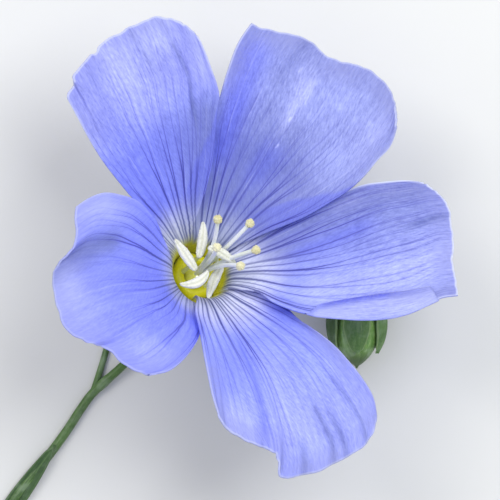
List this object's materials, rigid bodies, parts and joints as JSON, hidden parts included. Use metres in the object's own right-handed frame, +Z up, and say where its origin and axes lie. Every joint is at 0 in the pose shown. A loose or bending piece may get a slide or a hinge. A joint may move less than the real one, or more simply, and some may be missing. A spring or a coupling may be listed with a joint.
{
  "type": "flax flower",
  "caption": "Cut blue flax flower lying on its leafy stem, open petals facing up, with a side branch that ends in a young capsule.",
  "frame": {"origin": "on the surface that the flower lies on, at the middle of the part's footprint", "axes": "+Z up from the surface toward the open flower, +Y along the footprint from the stem's cut end toward the flower, +X to the right seen from above"},
  "size_m": [0.0478, 0.0632, 0.0237],
  "materials": {
    "petal": "satin, thin and slightly translucent, periwinkle blue with darker blue veins and a white to yellow-green claw",
    "stem": "smooth waxy green, faintly ribbed",
    "sepal": "satin green with fine lengthwise ribs and a thin pale margin",
    "stamen": "powdery creamy white anthers on smooth pale filaments",
    "pistil": "pale yellow-green styles with velvety pale yellow stigmas",
    "capsule": "smooth waxy light green"
  },
  "bodies": {
    "root": {"stem": "stem", "petal_upper_right": "petal", "petal_upper_left": "petal", "petal_left": "petal", "petal_lower": "petal", "petal_right": "petal", "sepal_1": "sepal", "sepal_2": "sepal", "sepal_3": "sepal", "sepal_4": "sepal", "sepal_5": "sepal", "stamens": "stamen", "pistil": "pistil", "capsule": "capsule", "capsule_sepal_1": "sepal", "capsule_sepal_2": "sepal", "capsule_sepal_3": "sepal", "capsule_sepal_4": "sepal", "capsule_sepal_5": "sepal"}
  },
  "joints": []
}
